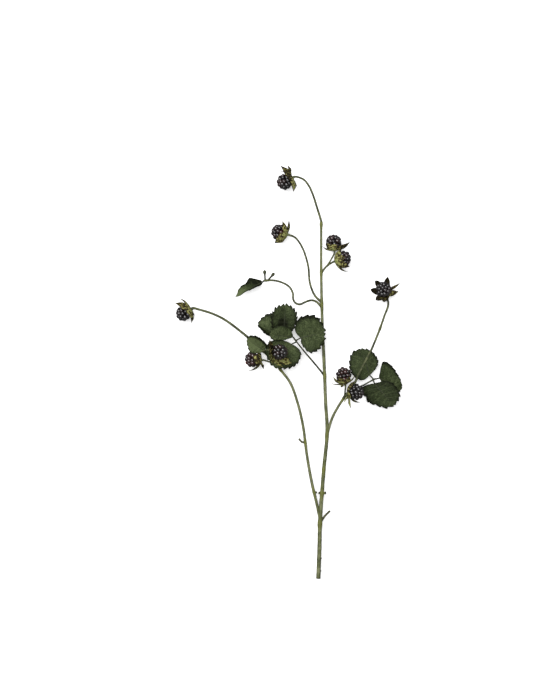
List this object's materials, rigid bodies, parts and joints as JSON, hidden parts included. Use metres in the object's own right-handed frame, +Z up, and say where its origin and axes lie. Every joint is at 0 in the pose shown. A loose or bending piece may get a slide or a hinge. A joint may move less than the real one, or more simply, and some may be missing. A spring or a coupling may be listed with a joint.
{
  "type": "bramble sprig",
  "caption": "Cut bramble sprig lying on a surface: a forked woody stem with curved stalks, toothed leaves, ripe berries in spiky calyxes and small buds.",
  "frame": {"origin": "the middle of the sprig's footprint, on the surface that it lies on", "axes": "+Y from the cut end of the main stem towards the tip, +X to the right seen from above, +Z up from the surface"},
  "size_m": [0.2836, 0.5172, 0.0461],
  "materials": {
    "stem": "matt green bark, finely ridged, yellower at the nodes",
    "leaf": "matt dark green leaf with sunken veins and puckered cells, paler below",
    "berry": "glossy purple-black drupelets with a faint mauve bloom",
    "calyx": "matt yellow-green sepals, browned towards their tips"
  },
  "bodies": {
    "root": {"tip_berry": "berry", "tip_calyx": "calyx", "upper_left_berry": "berry", "upper_left_calyx": "calyx", "pair_upper_berry": "berry", "pair_upper_calyx": "calyx", "pair_lower_berry": "berry", "pair_lower_calyx": "calyx", "right_berry": "berry", "right_calyx": "calyx", "far_left_berry": "berry", "far_left_calyx": "calyx", "low_left_berry": "berry", "low_left_calyx": "calyx", "cluster_berry": "berry", "cluster_calyx": "calyx", "upper_right_berry": "berry", "upper_right_calyx": "calyx", "lower_right_berry": "berry", "lower_right_calyx": "calyx", "main_stem": "stem", "tip_stalk": "stem", "upper_left_stalk": "stem", "curly_twig": "stem", "pair_stalk": "stem", "pair_side_stalk": "stem", "left_branch": "stem", "left_berry_stalk": "stem", "low_left_stalk": "stem", "cluster_stalk": "stem", "right_branch": "stem", "right_berry_stalk": "stem", "upper_right_stalk": "stem", "lower_right_stalk": "stem", "centre_leaf_stalk": "stem", "left_leaf_stalk": "stem", "right_leaf_stalk": "stem", "right_stub": "stem", "left_stub": "stem", "centre_right_leaf": "leaf", "centre_tip_leaf": "leaf", "centre_left_leaf": "leaf", "left_tip_leaf": "leaf", "left_upper_leaf": "leaf", "left_side_leaf": "leaf", "right_upper_leaf": "leaf", "right_tip_leaf": "leaf", "right_lower_leaf": "leaf", "curly_twig_leaf": "leaf", "upright_bud": "calyx", "leaning_bud": "calyx"}
  },
  "joints": []
}
